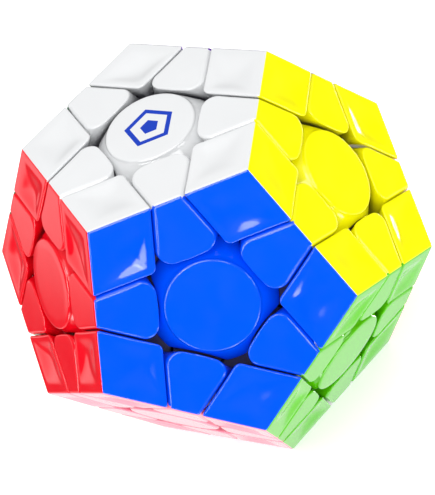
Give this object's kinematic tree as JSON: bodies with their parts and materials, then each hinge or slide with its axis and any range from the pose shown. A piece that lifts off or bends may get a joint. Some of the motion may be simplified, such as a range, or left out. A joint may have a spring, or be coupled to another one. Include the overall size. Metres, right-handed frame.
{
  "type": "dodecahedron twisty puzzle",
  "caption": "Dodecahedron twisty puzzle with coloured plastic face centres, edges and corners that turn in layers about the axes of its faces on a sprung core.",
  "frame": {"origin": "centre of the core, where the twelve face axes meet, which is also the centre of the puzzle's box", "axes": "+Z along the white face's axis, up, with the grey face below; -Y side carries the blue face, whose axis lies in the YZ plane"},
  "size_m": [0.0782, 0.0822, 0.0668],
  "materials": {
    "plastic_white": "gloss",
    "plastic_blue": "gloss",
    "plastic_yellow": "gloss",
    "plastic_purple": "gloss",
    "plastic_green": "gloss",
    "plastic_red": "gloss",
    "plastic_lime": "gloss",
    "plastic_orange": "gloss",
    "plastic_lightblue": "gloss",
    "plastic_cream": "gloss",
    "plastic_pink": "gloss",
    "plastic_grey": "gloss",
    "plastic_core": "satin",
    "screw_steel": "satin",
    "spring_steel": "satin"
  },
  "bodies": {
    "core": {"core": "plastic_core", "screws": "screw_steel", "springs": "spring_steel", "centre_grey": "plastic_grey"},
    "centre_white": {"centre_white": "plastic_white"},
    "centre_blue": {"centre_blue": "plastic_blue"},
    "centre_yellow": {"centre_yellow": "plastic_yellow"},
    "centre_purple": {"centre_purple": "plastic_purple"},
    "centre_green": {"centre_green": "plastic_green"},
    "centre_red": {"centre_red": "plastic_red"},
    "centre_lime": {"centre_lime": "plastic_lime", "edge_lime_grey": "plastic_lime"},
    "centre_orange": {"centre_orange": "plastic_orange", "edge_orange_grey": "plastic_orange"},
    "centre_lightblue": {"centre_lightblue": "plastic_lightblue", "edge_lightblue_grey": "plastic_lightblue"},
    "centre_cream": {"centre_cream": "plastic_cream", "edge_cream_grey": "plastic_cream"},
    "centre_pink": {"centre_pink": "plastic_pink", "edge_pink_grey": "plastic_pink"},
    "edge_white_blue": {"edge_white_blue": "plastic_white"},
    "edge_white_yellow": {"edge_white_yellow": "plastic_white"},
    "edge_white_purple": {"edge_white_purple": "plastic_white"},
    "edge_white_green": {"edge_white_green": "plastic_white"},
    "edge_white_red": {"edge_white_red": "plastic_white"},
    "edge_blue_yellow": {"edge_blue_yellow": "plastic_blue"},
    "edge_blue_red": {"edge_blue_red": "plastic_blue"},
    "edge_blue_lime": {"edge_blue_lime": "plastic_blue"},
    "edge_blue_pink": {"edge_blue_pink": "plastic_blue"},
    "edge_yellow_purple": {"edge_yellow_purple": "plastic_yellow"},
    "edge_yellow_lime": {"edge_yellow_lime": "plastic_yellow"},
    "edge_yellow_orange": {"edge_yellow_orange": "plastic_yellow"},
    "edge_purple_green": {"edge_purple_green": "plastic_purple"},
    "edge_purple_orange": {"edge_purple_orange": "plastic_purple"},
    "edge_purple_lightblue": {"edge_purple_lightblue": "plastic_purple"},
    "edge_green_red": {"edge_green_red": "plastic_green"},
    "edge_green_lightblue": {"edge_green_lightblue": "plastic_green"},
    "edge_green_cream": {"edge_green_cream": "plastic_green"},
    "edge_red_cream": {"edge_red_cream": "plastic_red"},
    "edge_red_pink": {"edge_red_pink": "plastic_red"},
    "edge_lime_orange": {"edge_lime_orange": "plastic_lime"},
    "edge_lime_pink": {"edge_lime_pink": "plastic_lime"},
    "edge_orange_lightblue": {"edge_orange_lightblue": "plastic_orange"},
    "edge_lightblue_cream": {"edge_lightblue_cream": "plastic_lightblue"},
    "edge_cream_pink": {"edge_cream_pink": "plastic_cream"},
    "corner_white_blue_yellow": {"corner_white_blue_yellow": "plastic_white"},
    "corner_white_blue_red": {"corner_white_blue_red": "plastic_white"},
    "corner_white_yellow_purple": {"corner_white_yellow_purple": "plastic_white"},
    "corner_white_purple_green": {"corner_white_purple_green": "plastic_white"},
    "corner_white_green_red": {"corner_white_green_red": "plastic_white"},
    "corner_blue_yellow_lime": {"corner_blue_yellow_lime": "plastic_blue"},
    "corner_blue_red_pink": {"corner_blue_red_pink": "plastic_blue"},
    "corner_blue_lime_pink": {"corner_blue_lime_pink": "plastic_blue"},
    "corner_yellow_purple_orange": {"corner_yellow_purple_orange": "plastic_yellow"},
    "corner_yellow_lime_orange": {"corner_yellow_lime_orange": "plastic_yellow"},
    "corner_purple_green_lightblue": {"corner_purple_green_lightblue": "plastic_purple"},
    "corner_purple_orange_lightblue": {"corner_purple_orange_lightblue": "plastic_purple"},
    "corner_green_red_cream": {"corner_green_red_cream": "plastic_green"},
    "corner_green_lightblue_cream": {"corner_green_lightblue_cream": "plastic_green"},
    "corner_red_cream_pink": {"corner_red_cream_pink": "plastic_red"}
  },
  "joints": [
    {"name": "turn_white", "type": "hinge", "parent": "core", "child": "centre_white", "pos_m": [0, 0, 0], "axis": [0, 0, 1], "range_deg": [-360, 360]},
    {"name": "turn_blue", "type": "hinge", "parent": "core", "child": "centre_blue", "pos_m": [0, 0, 0], "axis": [0, -0.8944, 0.4472], "range_deg": [-360, 360]},
    {"name": "turn_yellow", "type": "hinge", "parent": "core", "child": "centre_yellow", "pos_m": [0, 0, 0], "axis": [0.8507, -0.2764, 0.4472], "continuous": true},
    {"name": "turn_purple", "type": "hinge", "parent": "core", "child": "centre_purple", "pos_m": [0, 0, 0], "axis": [0.5257, 0.7236, 0.4472], "range_deg": [-360, 360]},
    {"name": "turn_green", "type": "hinge", "parent": "core", "child": "centre_green", "pos_m": [0, 0, 0], "axis": [-0.5257, 0.7236, 0.4472], "range_deg": [-360, 360]},
    {"name": "turn_red", "type": "hinge", "parent": "core", "child": "centre_red", "pos_m": [0, 0, 0], "axis": [-0.8507, -0.2764, 0.4472], "continuous": true},
    {"name": "turn_lime", "type": "hinge", "parent": "core", "child": "centre_lime", "pos_m": [0, 0, 0], "axis": [0.5257, -0.7236, -0.4472], "range_deg": [-360, 360]},
    {"name": "turn_orange", "type": "hinge", "parent": "core", "child": "centre_orange", "pos_m": [0, 0, 0], "axis": [0.8507, 0.2764, -0.4472], "range_deg": [-360, 360]},
    {"name": "turn_lightblue", "type": "hinge", "parent": "core", "child": "centre_lightblue", "pos_m": [0, 0, 0], "axis": [0, 0.8944, -0.4472], "continuous": true},
    {"name": "turn_cream", "type": "hinge", "parent": "core", "child": "centre_cream", "pos_m": [0, 0, 0], "axis": [-0.8507, 0.2764, -0.4472], "range_deg": [-360, 360]},
    {"name": "turn_pink", "type": "hinge", "parent": "core", "child": "centre_pink", "pos_m": [0, 0, 0], "axis": [-0.5257, -0.7236, -0.4472], "range_deg": [-360, 360]},
    {"name": "edge_white_blue_on_blue", "type": "hinge", "parent": "centre_white", "child": "edge_white_blue", "pos_m": [0, 0, 0], "axis": [0, -0.8944, 0.4472], "range_deg": [-360, 360]},
    {"name": "edge_white_yellow_on_yellow", "type": "hinge", "parent": "centre_white", "child": "edge_white_yellow", "pos_m": [0, 0, 0], "axis": [0.8507, -0.2764, 0.4472], "continuous": true},
    {"name": "edge_white_purple_on_purple", "type": "hinge", "parent": "centre_white", "child": "edge_white_purple", "pos_m": [0, 0, 0], "axis": [0.5257, 0.7236, 0.4472], "range_deg": [-360, 360]},
    {"name": "edge_white_green_on_green", "type": "hinge", "parent": "centre_white", "child": "edge_white_green", "pos_m": [0, 0, 0], "axis": [-0.5257, 0.7236, 0.4472], "range_deg": [-360, 360]},
    {"name": "edge_white_red_on_red", "type": "hinge", "parent": "centre_white", "child": "edge_white_red", "pos_m": [0, 0, 0], "axis": [-0.8507, -0.2764, 0.4472], "continuous": true},
    {"name": "edge_blue_yellow_on_yellow", "type": "hinge", "parent": "centre_blue", "child": "edge_blue_yellow", "pos_m": [0, 0, 0], "axis": [0.8507, -0.2764, 0.4472], "continuous": true},
    {"name": "edge_blue_red_on_red", "type": "hinge", "parent": "centre_blue", "child": "edge_blue_red", "pos_m": [0, 0, 0], "axis": [-0.8507, -0.2764, 0.4472], "continuous": true},
    {"name": "edge_blue_lime_on_lime", "type": "hinge", "parent": "centre_blue", "child": "edge_blue_lime", "pos_m": [0, 0, 0], "axis": [0.5257, -0.7236, -0.4472], "range_deg": [-360, 360]},
    {"name": "edge_blue_pink_on_pink", "type": "hinge", "parent": "centre_blue", "child": "edge_blue_pink", "pos_m": [0, 0, 0], "axis": [-0.5257, -0.7236, -0.4472], "range_deg": [-360, 360]},
    {"name": "edge_yellow_purple_on_purple", "type": "hinge", "parent": "centre_yellow", "child": "edge_yellow_purple", "pos_m": [0, 0, 0], "axis": [0.5257, 0.7236, 0.4472], "range_deg": [-360, 360]},
    {"name": "edge_yellow_lime_on_lime", "type": "hinge", "parent": "centre_yellow", "child": "edge_yellow_lime", "pos_m": [0, 0, 0], "axis": [0.5257, -0.7236, -0.4472], "range_deg": [-360, 360]},
    {"name": "edge_yellow_orange_on_orange", "type": "hinge", "parent": "centre_yellow", "child": "edge_yellow_orange", "pos_m": [0, 0, 0], "axis": [0.8507, 0.2764, -0.4472], "range_deg": [-360, 360]},
    {"name": "edge_purple_green_on_green", "type": "hinge", "parent": "centre_purple", "child": "edge_purple_green", "pos_m": [0, 0, 0], "axis": [-0.5257, 0.7236, 0.4472], "range_deg": [-360, 360]},
    {"name": "edge_purple_orange_on_orange", "type": "hinge", "parent": "centre_purple", "child": "edge_purple_orange", "pos_m": [0, 0, 0], "axis": [0.8507, 0.2764, -0.4472], "range_deg": [-360, 360]},
    {"name": "edge_purple_lightblue_on_lightblue", "type": "hinge", "parent": "centre_purple", "child": "edge_purple_lightblue", "pos_m": [0, 0, 0], "axis": [0, 0.8944, -0.4472], "continuous": true},
    {"name": "edge_green_red_on_red", "type": "hinge", "parent": "centre_green", "child": "edge_green_red", "pos_m": [0, 0, 0], "axis": [-0.8507, -0.2764, 0.4472], "continuous": true},
    {"name": "edge_green_lightblue_on_lightblue", "type": "hinge", "parent": "centre_green", "child": "edge_green_lightblue", "pos_m": [0, 0, 0], "axis": [0, 0.8944, -0.4472], "continuous": true},
    {"name": "edge_green_cream_on_cream", "type": "hinge", "parent": "centre_green", "child": "edge_green_cream", "pos_m": [0, 0, 0], "axis": [-0.8507, 0.2764, -0.4472], "range_deg": [-360, 360]},
    {"name": "edge_red_cream_on_cream", "type": "hinge", "parent": "centre_red", "child": "edge_red_cream", "pos_m": [0, 0, 0], "axis": [-0.8507, 0.2764, -0.4472], "range_deg": [-360, 360]},
    {"name": "edge_red_pink_on_pink", "type": "hinge", "parent": "centre_red", "child": "edge_red_pink", "pos_m": [0, 0, 0], "axis": [-0.5257, -0.7236, -0.4472], "range_deg": [-360, 360]},
    {"name": "edge_lime_orange_on_orange", "type": "hinge", "parent": "centre_lime", "child": "edge_lime_orange", "pos_m": [0, 0, 0], "axis": [0.8507, 0.2764, -0.4472], "range_deg": [-360, 360]},
    {"name": "edge_lime_pink_on_pink", "type": "hinge", "parent": "centre_lime", "child": "edge_lime_pink", "pos_m": [0, 0, 0], "axis": [-0.5257, -0.7236, -0.4472], "range_deg": [-360, 360]},
    {"name": "edge_orange_lightblue_on_lightblue", "type": "hinge", "parent": "centre_orange", "child": "edge_orange_lightblue", "pos_m": [0, 0, 0], "axis": [0, 0.8944, -0.4472], "continuous": true},
    {"name": "edge_lightblue_cream_on_cream", "type": "hinge", "parent": "centre_lightblue", "child": "edge_lightblue_cream", "pos_m": [0, 0, 0], "axis": [-0.8507, 0.2764, -0.4472], "range_deg": [-360, 360]},
    {"name": "edge_cream_pink_on_pink", "type": "hinge", "parent": "centre_cream", "child": "edge_cream_pink", "pos_m": [0, 0, 0], "axis": [-0.5257, -0.7236, -0.4472], "range_deg": [-360, 360]},
    {"name": "corner_white_blue_yellow_on_yellow", "type": "hinge", "parent": "edge_white_blue", "child": "corner_white_blue_yellow", "pos_m": [0, 0, 0], "axis": [0.8507, -0.2764, 0.4472], "continuous": true},
    {"name": "corner_white_blue_red_on_red", "type": "hinge", "parent": "edge_white_blue", "child": "corner_white_blue_red", "pos_m": [0, 0, 0], "axis": [-0.8507, -0.2764, 0.4472], "continuous": true},
    {"name": "corner_white_yellow_purple_on_purple", "type": "hinge", "parent": "edge_white_yellow", "child": "corner_white_yellow_purple", "pos_m": [0, 0, 0], "axis": [0.5257, 0.7236, 0.4472], "range_deg": [-360, 360]},
    {"name": "corner_white_purple_green_on_green", "type": "hinge", "parent": "edge_white_purple", "child": "corner_white_purple_green", "pos_m": [0, 0, 0], "axis": [-0.5257, 0.7236, 0.4472], "range_deg": [-360, 360]},
    {"name": "corner_white_green_red_on_red", "type": "hinge", "parent": "edge_white_green", "child": "corner_white_green_red", "pos_m": [0, 0, 0], "axis": [-0.8507, -0.2764, 0.4472], "continuous": true},
    {"name": "corner_blue_yellow_lime_on_lime", "type": "hinge", "parent": "edge_blue_yellow", "child": "corner_blue_yellow_lime", "pos_m": [0, 0, 0], "axis": [0.5257, -0.7236, -0.4472], "range_deg": [-360, 360]},
    {"name": "corner_blue_red_pink_on_pink", "type": "hinge", "parent": "edge_blue_red", "child": "corner_blue_red_pink", "pos_m": [0, 0, 0], "axis": [-0.5257, -0.7236, -0.4472], "range_deg": [-360, 360]},
    {"name": "corner_blue_lime_pink_on_pink", "type": "hinge", "parent": "edge_blue_lime", "child": "corner_blue_lime_pink", "pos_m": [0, 0, 0], "axis": [-0.5257, -0.7236, -0.4472], "range_deg": [-360, 360]},
    {"name": "corner_yellow_purple_orange_on_orange", "type": "hinge", "parent": "edge_yellow_purple", "child": "corner_yellow_purple_orange", "pos_m": [0, 0, 0], "axis": [0.8507, 0.2764, -0.4472], "range_deg": [-360, 360]},
    {"name": "corner_yellow_lime_orange_on_orange", "type": "hinge", "parent": "edge_yellow_lime", "child": "corner_yellow_lime_orange", "pos_m": [0, 0, 0], "axis": [0.8507, 0.2764, -0.4472], "range_deg": [-360, 360]},
    {"name": "corner_purple_green_lightblue_on_lightblue", "type": "hinge", "parent": "edge_purple_green", "child": "corner_purple_green_lightblue", "pos_m": [0, 0, 0], "axis": [0, 0.8944, -0.4472], "continuous": true},
    {"name": "corner_purple_orange_lightblue_on_lightblue", "type": "hinge", "parent": "edge_purple_orange", "child": "corner_purple_orange_lightblue", "pos_m": [0, 0, 0], "axis": [0, 0.8944, -0.4472], "continuous": true},
    {"name": "corner_green_red_cream_on_cream", "type": "hinge", "parent": "edge_green_red", "child": "corner_green_red_cream", "pos_m": [0, 0, 0], "axis": [-0.8507, 0.2764, -0.4472], "range_deg": [-360, 360]},
    {"name": "corner_green_lightblue_cream_on_cream", "type": "hinge", "parent": "edge_green_lightblue", "child": "corner_green_lightblue_cream", "pos_m": [0, 0, 0], "axis": [-0.8507, 0.2764, -0.4472], "range_deg": [-360, 360]},
    {"name": "corner_red_cream_pink_on_pink", "type": "hinge", "parent": "edge_red_cream", "child": "corner_red_cream_pink", "pos_m": [0, 0, 0], "axis": [-0.5257, -0.7236, -0.4472], "range_deg": [-360, 360]}
  ],
  "couplings": [
    {"joint": "edge_white_blue_on_blue", "follows": "turn_blue", "ratio": 1},
    {"joint": "edge_white_yellow_on_yellow", "follows": "turn_yellow", "ratio": 1},
    {"joint": "edge_white_purple_on_purple", "follows": "turn_purple", "ratio": 1},
    {"joint": "edge_white_green_on_green", "follows": "turn_green", "ratio": 1},
    {"joint": "edge_white_red_on_red", "follows": "turn_red", "ratio": 1},
    {"joint": "edge_blue_yellow_on_yellow", "follows": "turn_yellow", "ratio": 1},
    {"joint": "edge_blue_red_on_red", "follows": "turn_red", "ratio": 1},
    {"joint": "edge_blue_lime_on_lime", "follows": "turn_lime", "ratio": 1},
    {"joint": "edge_blue_pink_on_pink", "follows": "turn_pink", "ratio": 1},
    {"joint": "edge_yellow_purple_on_purple", "follows": "turn_purple", "ratio": 1},
    {"joint": "edge_yellow_lime_on_lime", "follows": "turn_lime", "ratio": 1},
    {"joint": "edge_yellow_orange_on_orange", "follows": "turn_orange", "ratio": 1},
    {"joint": "edge_purple_green_on_green", "follows": "turn_green", "ratio": 1},
    {"joint": "edge_purple_orange_on_orange", "follows": "turn_orange", "ratio": 1},
    {"joint": "edge_purple_lightblue_on_lightblue", "follows": "turn_lightblue", "ratio": 1},
    {"joint": "edge_green_red_on_red", "follows": "turn_red", "ratio": 1},
    {"joint": "edge_green_lightblue_on_lightblue", "follows": "turn_lightblue", "ratio": 1},
    {"joint": "edge_green_cream_on_cream", "follows": "turn_cream", "ratio": 1},
    {"joint": "edge_red_cream_on_cream", "follows": "turn_cream", "ratio": 1},
    {"joint": "edge_red_pink_on_pink", "follows": "turn_pink", "ratio": 1},
    {"joint": "edge_lime_orange_on_orange", "follows": "turn_orange", "ratio": 1},
    {"joint": "edge_lime_pink_on_pink", "follows": "turn_pink", "ratio": 1},
    {"joint": "edge_orange_lightblue_on_lightblue", "follows": "turn_lightblue", "ratio": 1},
    {"joint": "edge_lightblue_cream_on_cream", "follows": "turn_cream", "ratio": 1},
    {"joint": "edge_cream_pink_on_pink", "follows": "turn_pink", "ratio": 1},
    {"joint": "corner_white_blue_yellow_on_yellow", "follows": "turn_yellow", "ratio": 1},
    {"joint": "corner_white_blue_red_on_red", "follows": "turn_red", "ratio": 1},
    {"joint": "corner_white_yellow_purple_on_purple", "follows": "turn_purple", "ratio": 1},
    {"joint": "corner_white_purple_green_on_green", "follows": "turn_green", "ratio": 1},
    {"joint": "corner_white_green_red_on_red", "follows": "turn_red", "ratio": 1},
    {"joint": "corner_blue_yellow_lime_on_lime", "follows": "turn_lime", "ratio": 1},
    {"joint": "corner_blue_red_pink_on_pink", "follows": "turn_pink", "ratio": 1},
    {"joint": "corner_blue_lime_pink_on_pink", "follows": "turn_pink", "ratio": 1},
    {"joint": "corner_yellow_purple_orange_on_orange", "follows": "turn_orange", "ratio": 1},
    {"joint": "corner_yellow_lime_orange_on_orange", "follows": "turn_orange", "ratio": 1},
    {"joint": "corner_purple_green_lightblue_on_lightblue", "follows": "turn_lightblue", "ratio": 1},
    {"joint": "corner_purple_orange_lightblue_on_lightblue", "follows": "turn_lightblue", "ratio": 1},
    {"joint": "corner_green_red_cream_on_cream", "follows": "turn_cream", "ratio": 1},
    {"joint": "corner_green_lightblue_cream_on_cream", "follows": "turn_cream", "ratio": 1},
    {"joint": "corner_red_cream_pink_on_pink", "follows": "turn_pink", "ratio": 1}
  ]
}
